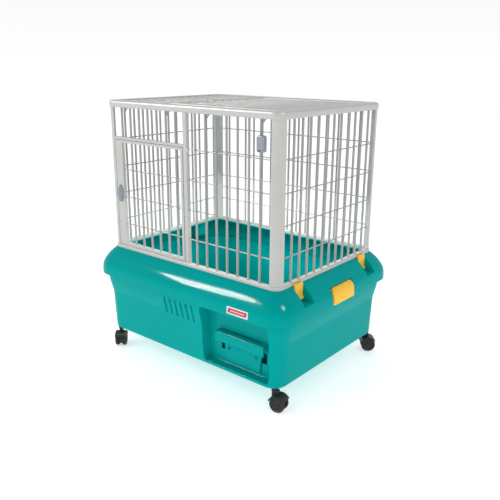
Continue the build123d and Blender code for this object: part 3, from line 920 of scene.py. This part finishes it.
def hingeEars():
    # upright ears on the crossbar, either side of each hatch tab
    ears = []
    x, z = hatch["hinge"]
    radius = hatch["earRadius"]
    foot = z - 6.5 * mm
    loop = [(x - radius, foot), (x + radius, foot)]
    loop += [(x + radius * cos(radians(12 * k)), z + radius * sin(radians(12 * k))) for k in range(16)]
    for tab in hatch["tabs"]:
        for end in (-1, 1):
            low, high = sorted(tab + end * offset for offset in hatch["earOffsets"])
            ear = runAlongY("ear", loop, low, high)
            bevel(ear, 0.6 * mm, 2)
            ears.append(ear)
    return ears


def makeHatchFrame():
    low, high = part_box("hatch_frame")
    shape = {
        "centreX": (low.x + high.x) / 2,
        "centreY": (low.y + high.y) / 2,
        "halfX": (high.x - low.x) / 2,
        "halfY": (high.y - low.y) / 2,
        "corner": hatch["corner"],
    }
    height = (high.z - low.z) / mm
    corners = [(0, 0), (0, height), (-hatch["rail"], height), (-hatch["rail"], 0)]
    path = scaled(filletPath(corners, [1.2, 2.4, 2.4, 1.2], 5, close=True), low.z)
    piece = sweptRing("hatchFrame", shape, outlineColumns(shape), lambda column: path)
    smooth(piece, 40)
    return standFor(piece, "hatch", "hatch_frame")


makeBaseFrame()
makeRoofFrame()
makeHatchFrame()
print("stage: frames")


# door
latchLow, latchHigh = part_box("door_latch")
knob = {
    "centre": (-225 * mm, (latchLow.z + latchHigh.z) / 2),
    "radii": (10.5 * mm, 21 * mm),
    "back": frontY - 0.2 * mm,
    "thickness": 8 * mm,
    "hollow": (11 * mm, 0.0),
    "hollowSize": (7.5 * mm, 12 * mm),
    "hollowDepth": 5 * mm,
    "rings": 22,
    "steps": 72,
    "neckX": (-228 * mm, -218 * mm),
    "neckHalf": 6.4 * mm,
    "boltEnd": -214.5 * mm,
    "boltHalf": 6 * mm,
    "boltDepth": 9 * mm,
}


def makeDoorLatch():
    # an oval slider with a domed face and a finger hollow on its inner side
    centreX, centreZ = knob["centre"]
    radiusX, radiusZ = knob["radii"]

    def faceDepth(x, z, reach):
        dome = knob["thickness"] * (1 - max(reach, 0.0) ** 5) ** 0.5
        offX = (x - knob["hollow"][0]) / knob["hollowSize"][0]
        offZ = (z - knob["hollow"][1]) / knob["hollowSize"][1]
        hollow = max(0.0, 1 - offX ** 2 - offZ ** 2)
        return max(dome - knob["hollowDepth"] * hollow ** 0.8, 0.8 * mm if reach < 0.999 else 0.0)

    loops = []
    for ring in range(knob["rings"] + 1):
        reach = sin(pi / 2 * (1 - ring / (knob["rings"] + 1)))
        loop = []
        for step in range(knob["steps"]):
            turn = 2 * pi * step / knob["steps"]
            x, z = reach * radiusX * cos(turn), reach * radiusZ * sin(turn)
            loop.append((centreX + x, knob["back"] - faceDepth(x, z, reach), centreZ + z))
        loops.append(loop)
    face = lofted("knobFace", loops)
    boltFront = frontY + knob["boltDepth"]
    neckZ = (centreZ - knob["neckHalf"], centreZ + knob["neckHalf"])
    boltX, boltZ = (latchLow.x, knob["boltEnd"]), (centreZ - knob["boltHalf"], centreZ + knob["boltHalf"])
    parts = [
        face,
        roundedBox("knobNeck", knob["neckX"], (frontY - 0.8 * mm, boltFront + 0.2 * mm), neckZ, 0.6 * mm),
        roundedBox("knobBolt", boltX, (boltFront - 0.2 * mm, latchHigh.y), boltZ, 0.6 * mm),
    ]
    piece = joined("doorLatch", parts)
    smooth(piece, 50)
    return standFor(piece, "door_latch", "door_latch")


makeDoorLatch()
print("stage: door")


# yellow latches on the rim
lever = {
    "section": [
        (5, 35), (8, 33), (13, 35), (9.5, 41), (9.5, 68), (8, 69.6), (-0.6, 69.6), (-0.6, 67), (5, 67)],
    "radii": [1, 2.5, 2.5, 2, 0.9, 0.9, 0.8, 0.5, 1.2],
    "pivot": (9, 35),
    "barrel": 4,
    "half": 14.5 * mm,
    "edge": 0.9 * mm,
}


def hingeBarrel(side, pivot, radius, ends, edge):
    # a round barrel along Y; the pivot is its outset and its height over the lip
    x, z = side * (cage["halfX"] + pivot[0] * mm), rim["lip"] + pivot[1] * mm
    loop = [(x + a, z + b) for a, b in circleSection(radius * mm, 28)]
    barrel = runAlongY("barrel", loop, *ends)
    bevel(barrel, edge)
    return barrel


def makeLever(side, place, name):
    section = scaled(filletPath(lever["section"], lever["radii"], 4, close=True), rim["lip"])
    ends = (place - lever["half"], place + lever["half"])
    plate = runAlongY("leverPlate", [(side * (cage["halfX"] + a), b) for a, b in section], *ends)
    bevel(plate, lever["edge"])
    barrel = hingeBarrel(side, lever["pivot"], lever["barrel"], ends, 0.7 * mm)
    piece = joined(name, [plate, barrel])
    smooth(piece, 40)
    return piece


for side, sideName in ((-1, "left"), (1, "right")):
    for place, endName in zip(rim["latchPlaces"], ("front", "back")):
        piece = makeLever(side, place, "latch" + endName.capitalize() + sideName.capitalize())
        node = "latch_" + endName + "_" + sideName
        standFor(piece, node, node)


# large side clips
clip = {
    "line": [(33.5, 35.1), (36, 31.6), (38, 28), (39.8, 23.5), (41, 18), (41.7, 9), (42, 0)],
    "rise": 1.5,
    "depth": 4.2,
    "half": 43,
    "cornerTop": 9,
    "cornerFoot": 3,
    "edge": 1.8,
    "barrel": 3.8,
    "barrelShort": 5,
    "edgeStart": 0.35,
    "edgeShare": 1.6,
}


def makeSideClip(side, name):
    # rows down the clip's curved face, each a rounded bar across it
    line = throughPoints(clip["line"], 5)
    lengths = [0.0]
    for a, b in zip(line, line[1:]):
        lengths.append(lengths[-1] + hypot(b[0] - a[0], b[1] - a[1]))
    thick = clip["rise"] + clip["depth"]
    loops = []
    for k, (point, run) in enumerate(zip(line, lengths)):
        before, after = line[max(k - 1, 0)], line[min(k + 1, len(line) - 1)]
        along = Vector((after[0] - before[0], after[1] - before[1])).normalized()
        outward = Vector((-along.y, along.x))
        left = lengths[-1] - run
        width = clip["half"] - roundedInset(run, clip["cornerTop"]) - roundedInset(left, clip["cornerFoot"])
        inset = roundedInset(min(run, left) + clip["edgeStart"], clip["edge"])
        shrink = 1 - inset / thick * clip["edgeShare"]
        loop = []
        for a, b in roundedSection(width, thick / 2 * shrink, clip["edge"] * shrink, 4):
            outset, height = Vector(point) + outward * (clip["rise"] - thick / 2 + b)
            x = side * (cage["halfX"] + outset * mm)
            loop.append((x, rim["clipPlace"] + a * mm, rim["lip"] + height * mm))
        loops.append(loop)
    reach = (clip["half"] - clip["barrelShort"]) * mm
    ends = (rim["clipPlace"] - reach, rim["clipPlace"] + reach)
    barrel = hingeBarrel(side, rim["clipPivot"], clip["barrel"], ends, 0.8 * mm)
    piece = joined(name, [lofted("clipPlate", loops), barrel])
    smooth(piece, 40)
    return piece


for side, sideName in ((-1, "left"), (1, "right")):
    piece = makeSideClip(side, "sideClip" + sideName.capitalize())
    standFor(piece, "side_clip_" + sideName, "side_clip_" + sideName)
print("stage: latches and clips")


# drawer
drawerLow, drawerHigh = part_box("drawer")
tray = {
    "centre": (drawerLow.x + drawerHigh.x) / 2,
    "faceFront": frontY + 4 * mm,
    "faceBack": frontY + 7.6 * mm,
    "faceTop": drawerHigh.z,
    "faceBottom": drawerLow.z,
    "faceWidths": (98 * mm, 114 * mm),
    "gripHalf": 70 * mm,
    "gripDrop": 23 * mm,
    "bodyHalf": 48 * mm,
    "bodyBottom": drawerLow.z + 5 * mm,
    "bodyTop": drawerHigh.z - 9 * mm,
    "wall": 2.5 * mm,
    "dimpleOffset": 39 * mm,
    "dimpleRadius": 4.6 * mm,
    "dimpleDepth": 2.4 * mm,
    "dimpleDrop": 39 * mm,
    "gripThickness": 3 * mm,
    "gripEdge": 1.2 * mm,
}


def drawerFace():
    # a plate that widens upwards, with two round dimples
    middle, top, bottom = tray["centre"], tray["faceTop"], tray["faceBottom"]
    low, high = (width / 2 for width in tray["faceWidths"])
    corners = [(middle - low, bottom), (middle + low, bottom), (middle + high, top), (middle - high, top)]
    loop = filletPath(corners, [5 * mm, 5 * mm, 1 * mm, 1 * mm], 5, close=True)
    face = runAlongY("drawerFace", loop, tray["faceFront"], tray["faceBack"])
    dimples = []
    for side in (-1, 1):
        x, z = middle + side * tray["dimpleOffset"], top - tray["dimpleDrop"]
        ring = [(x + a, z + b) for a, b in circleSection(tray["dimpleRadius"], 24)]
        spans = (tray["faceFront"] - 1 * mm, tray["faceFront"] + tray["dimpleDepth"])
        dimples.append(runAlongY("dimple", ring, *spans))
    cut(face, joined("dimples", dimples))
    bevel(face, 0.7 * mm, 3)
    return face


def drawerGrip():
    # a hooked lip over the face, as one (y, z) outline along X
    top, back, front = tray["faceTop"], tray["faceBack"], drawerLow.y
    thick, edge, foot = tray["gripThickness"], tray["gripEdge"], tray["faceTop"] - tray["gripDrop"]
    corners = [
        (back, top - thick), (front + thick, top - thick), (front + thick, foot),
        (front, foot), (front, top), (back, top)]
    loop = filletPath(corners, [0, 3 * mm, edge, edge, 5 * mm, 0], 6)
    spans = (tray["centre"] - tray["gripHalf"], tray["centre"] + tray["gripHalf"])
    grip = lofted("drawerGrip", [[(x, a, b) for a, b in loop] for x in spans])
    bevel(grip, edge, 3)
    return grip


def makeDrawer():
    half, wall = tray["bodyHalf"], tray["wall"]
    left, right = tray["centre"] - half, tray["centre"] + half
    front, back = frontY + 7 * mm, drawerHigh.y
    bottom, top = tray["bodyBottom"], tray["bodyTop"]
    body = roundedBox("drawerBody", (left, right), (front, back), (bottom, top), 3 * mm, 4)
    applyAll(body)
    y = (front + wall, back - wall)
    inside = roundedBox(
        "drawerInside", (left + wall, right - wall), y, (bottom + wall, top + 10 * mm), 2.5 * mm, 4)
    applyAll(inside)
    cut(body, inside)
    smooth(body, 40)
    y = (tray["faceBack"] - 0.5 * mm, front + 2.5 * mm)
    neck = roundedBox("drawerNeck", (left, right), y, (bottom, tray["faceTop"] - 0.6 * mm), 0.6 * mm)
    piece = joined("drawer", [drawerFace(), drawerGrip(), body, neck])
    smooth(piece, 40)
    return standFor(piece, "drawer", "drawer")


makeDrawer()
print("stage: drawer")


# casters
wheel = {
    "corners": ("front_left", "front_right", "back_right", "back_left"),
    "width": 9 * mm,
    "steps": 72,
    "profile": [
        (2.1, 0.9), (4.2, 0.9), (4.6, 0.5), (5.6, 0.5), (6.4, 1.9), (12.6, 1.9), (13.6, 0.7), (14.4, 0.3),
        (16.2, 0.3), (17.2, 0.8), (17.8, 1.8), (18, 3.2), (18, 3.9), (17.5, 4.2), (17.5, 4.8), (18, 5.1),
        (18, 5.8), (17.8, 7.2), (17.2, 8.2), (16.2, 8.7), (14.4, 8.7), (13.6, 8.3), (12.6, 7.4), (6.4, 7.4),
        (5.6, 8.6), (4.2, 8.6), (2.1, 8.6)],
}
bodiesWithJoints = {joint["child"]: joint for joint in frame["joints"]}


def wheelPlace(body):
    # the wheel's own frame: its axis and two directions across it
    joint = bodiesWithJoints[body]
    axis = Vector(joint["axis"]).normalized()
    across = axis.cross(Vector((0, 0, 1))).normalized()
    return Vector(joint["pos_m"]), axis, across


def makeWheel(letter, corner):
    body = "wheel_" + letter + "_" + corner
    centre, axis, across = wheelPlace(body)
    low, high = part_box(body)
    middle = (low + high) / 2
    start = (middle - centre).dot(axis)
    outward = 1 if start > 0 else -1
    first = start - outward * wheel["width"] / 2

    def place(a, b, along):
        return centre + axis * (first + outward * along) + across * a + Vector((0, 0, 1)) * b

    profile = [(r * mm, wheel["width"] - t * mm) for r, t in wheel["profile"]]
    verts, count = [], len(profile)
    steps = wheel["steps"]
    for k in range(steps):
        turn = 2 * pi * k / steps
        verts += [place(r * cos(turn), r * sin(turn), t) for r, t in profile]
    name = "wheel" + letter.upper() + "".join(word.capitalize() for word in corner.split("_"))
    piece = meshObject(name, verts, gridFaces(steps, count, True, True))
    smooth(piece, 28)
    return standFor(piece, body, body, look="tread")


for corner in wheel["corners"]:
    for letter in "ab":
        makeWheel(letter, corner)
print("stage: casters")


# edges of the CAD nodes that stay: (width, segments)
softEdges = {
    "hatch_hinge_tabs": (0.6 * mm, 3), "post_middle": (1 * mm, 3), "door_header": (1 * mm, 3),
    "roof_hooks": (0.7 * mm, 3), "door_frame": (1.5 * mm, 4), "bottle_clip": (0.8 * mm, 3),
    "drawer_housing": (1.5 * mm, 3), "door_hinge_pins": (0.3 * mm, 2), "hatch_pins": (0.3 * mm, 2),
    "latch_pins": (0.3 * mm, 2), "side_clip_pins": (0.3 * mm, 2),
}
for corner in wheel["corners"]:
    softEdges["caster_body_" + corner] = (0.9 * mm, 3)
    softEdges["caster_stem_" + corner] = (0.5 * mm, 2)
    softEdges["caster_axle_" + corner] = (0.3 * mm, 2)
for name, (width, segments) in softEdges.items():
    softenNode(name, width, segments)
print("stage: softened edges")


# plain sticker on the lip, with a red field and a white stripe, no lettering
labelLow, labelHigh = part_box("front_label")
sticker = {
    "size": (58, 16),
    "corner": 1.5,
    "field": (52, 10.5),
    "stripe": (38, 1.6),
    "skew": 0.15,
    "rows": 20,
}


def lipOutset(height):
    # how far the curved rim stands out at a height over its lip
    curve = throughPoints(rim["shoulder"], 7)
    for above, below in zip(curve, curve[1:]):
        if below[1] <= height <= above[1]:
            return below[0] + (above[0] - below[0]) * (height - below[1]) / (above[1] - below[1])
    return curve[-1][0]


def labelPlate(name, size, corner, rise, thickness, skew=0.0):
    # a thin rounded plate that follows the rim's curve, built up row by row
    width, height = size
    centreX = (labelLow.x + labelHigh.x) / 2
    centreHeight = ((labelLow.z + labelHigh.z) / 2 - rim["lip"]) / mm
    loops = []
    for row in range(sticker["rows"] + 1):
        up = -cos(pi * row / sticker["rows"]) * height / 2
        half = (width / 2 - roundedInset(height / 2 - abs(up), corner)) * mm
        x = centreX + skew * up * mm
        out = [lipOutset(centreHeight + up) + depth for depth in (rise, rise + thickness)]
        near, far = (frontY - outset * mm for outset in out)
        z = rim["lip"] + (centreHeight + up) * mm
        loops.append([(x - half, near, z), (x + half, near, z), (x + half, far, z), (x - half, far, z)])
    piece = lofted(name, loops)
    smooth(piece, 40)
    return piece


plate = labelPlate("frontLabel", sticker["size"], sticker["corner"], 0.0, 0.5)
standFor(plate, "cage", "front_label")
for name, size, look, lift in (
    ("labelField", sticker["field"], "stickerRed", 0.4),
    ("labelStripe", sticker["stripe"], "sticker", 0.5),
):
    plate = labelPlate(name, size, min(1.4, size[1] / 2), lift, 0.2, sticker["skew"])
    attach(plate, "cage")
    plate.data.materials.append(materials[look])
print("stage: sticker")


# floor, light and camera
studio = {
    "floorSize": 14.0,
    "floorColour": (0.93, 0.93, 0.93),
    "floorGlow": 0.5,
    "skyHorizon": 1.0,
    "skyZenith": 0.5,
    "cameraPlace": (0.9688, -1.1430, 0.7266),
    "yaw": -39.516,
    "pitch": -17.066,
    "roll": 0.365,
    "lens": 44.47,
}
softLights = {
    "key": {"place": (-1.2, -2.4, 2.2), "aim": (0, 0, 0.3), "size": (1.6, 1.2), "power": 11},
    "inside": {"place": (0, 0, 0.42), "aim": (0, 0, 0), "size": (0.4, 0.3), "power": 1.3, "hidden": True},
    "band": {
        "place": (-1.147, -1.1425, 1.4635), "aim": (0.09, -0.225, 0.247), "size": (0.52, 0.3), "power": 90,
        "turn": 67, "shineOnly": True},
    "glint": {
        "place": (1.61, -0.28, 1.74), "aim": (0.282, -0.202, 0.247), "size": (0.3, 0.3), "power": 60,
        "shineOnly": True},
    "top": {"place": (0.2, 0.2, 2.6), "aim": (0, 0, 0.3), "size": (2.0, 2.0), "power": 2},
}


def makeFloor():
    half = studio["floorSize"] / 2
    corners = [(-half, -half, 0), (half, -half, 0), (half, half, 0), (-half, half, 0)]
    floor = meshObject("studioFloor", corners, [(0, 1, 2, 3)])
    paper = bpy.data.materials.new("paper")
    paper.use_nodes = True
    shader = paper.node_tree.nodes["Principled BSDF"]
    shader.inputs["Base Color"].default_value = (*studio["floorColour"], 1.0)
    shader.inputs["Roughness"].default_value = 0.75
    shader.inputs["Emission Color"].default_value = (1.0, 1.0, 1.0, 1.0)
    shader.inputs["Emission Strength"].default_value = studio["floorGlow"]
    floor.data.materials.append(paper)


def makeLight(name, light):
    data = bpy.data.lights.new(name, "AREA")
    data.shape = "RECTANGLE"
    data.size, data.size_y = light["size"]
    data.energy = light["power"]
    lamp = bpy.data.objects.new(name, data)
    lamp.location = light["place"]
    aim = Vector(light["aim"]) - Vector(light["place"])
    turn = Matrix.Rotation(radians(light.get("turn", 0)), 4, "Z")
    lamp.rotation_euler = (aim.to_track_quat("-Z", "Y").to_matrix().to_4x4() @ turn).to_euler()
    lamp.visible_diffuse = not light.get("shineOnly", False)
    lamp.visible_camera = not light.get("hidden", False)
    lamp.visible_glossy = not light.get("hidden", False)
    bpy.context.scene.collection.objects.link(lamp)


def makeCamera():
    data = bpy.data.cameras.new("camera")
    data.lens = studio["lens"]
    data.sensor_width = 36.0
    data.clip_start = 0.05
    camera = bpy.data.objects.new("camera", data)
    turn = Matrix.Rotation(radians(-studio["yaw"]), 4, "Z")
    tilt = Matrix.Rotation(radians(90 + studio["pitch"]), 4, "X")
    roll = Matrix.Rotation(radians(studio["roll"]), 4, "Z")
    camera.matrix_world = Matrix.Translation(studio["cameraPlace"]) @ turn @ tilt @ roll
    bpy.context.scene.collection.objects.link(camera)
    bpy.context.scene.camera = camera


def makeWorld():
    # white at the horizon and dimmer overhead
    world = bpy.data.worlds.new("studio")
    world.use_nodes = True
    tree = world.node_tree
    background = tree.nodes["Background"]
    background.inputs["Color"].default_value = (1.0, 1.0, 1.0, 1.0)
    direction = addNode(tree, "ShaderNodeTexCoord").outputs["Generated"]
    upward = addNode(tree, "ShaderNodeSeparateXYZ", {"Vector": direction}).outputs["Z"]
    fade = rangeNode(tree, upward, toMin=studio["skyHorizon"], toMax=studio["skyZenith"])
    tree.links.new(fade, background.inputs["Strength"])
    bpy.context.scene.world = world


makeFloor()
for lightName, light in softLights.items():
    makeLight(lightName, light)
makeCamera()
makeWorld()
bpy.context.scene.view_settings.view_transform = "Standard"
print("stage: studio")
